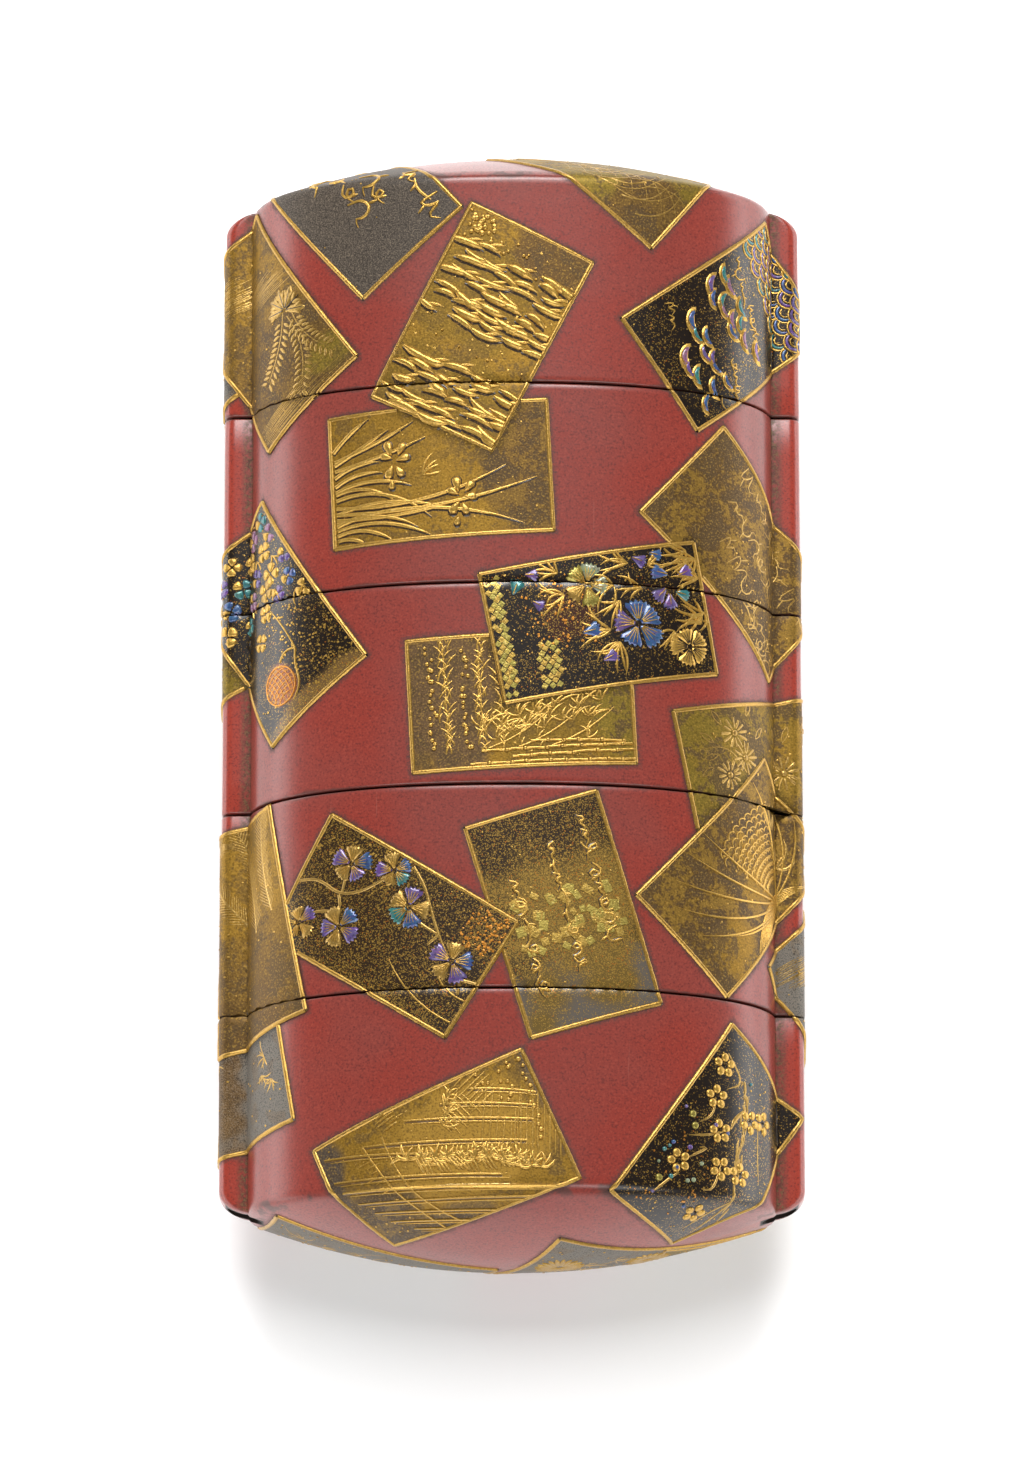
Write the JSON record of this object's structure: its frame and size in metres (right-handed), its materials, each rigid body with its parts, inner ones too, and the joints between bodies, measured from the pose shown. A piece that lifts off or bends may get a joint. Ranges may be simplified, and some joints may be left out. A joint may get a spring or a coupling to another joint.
{
  "type": "inro case",
  "caption": "Oval lacquer case of stacked, lipped compartments under a lid, with domed ends and a cord channel down each side, lying on its back.",
  "frame": {"origin": "under the middle of the case, on the surface that its back lies on", "axes": "+X across the width, +Y up the inro towards its lid, +Z out of its front face, away from the surface"},
  "size_m": [0.05, 0.0984, 0.0243],
  "materials": {
    "red_lacquer": "polished red lacquer over wood, with gold, black and shell picture cards in low relief",
    "gold_lacquer": "gold powder in lacquer",
    "black_lacquer": "black lacquer with fine gold flakes",
    "grey_lacquer": "silver and gold powder in lacquer, toned grey",
    "shell_inlay": "polished shell",
    "inside_lacquer": "brown lacquer with sparse gold flakes"
  },
  "bodies": {
    "root": {"lid": "red_lacquer", "upper_case": "red_lacquer", "second_case": "red_lacquer", "third_case": "red_lacquer", "bottom_case": "red_lacquer"}
  },
  "joints": []
}
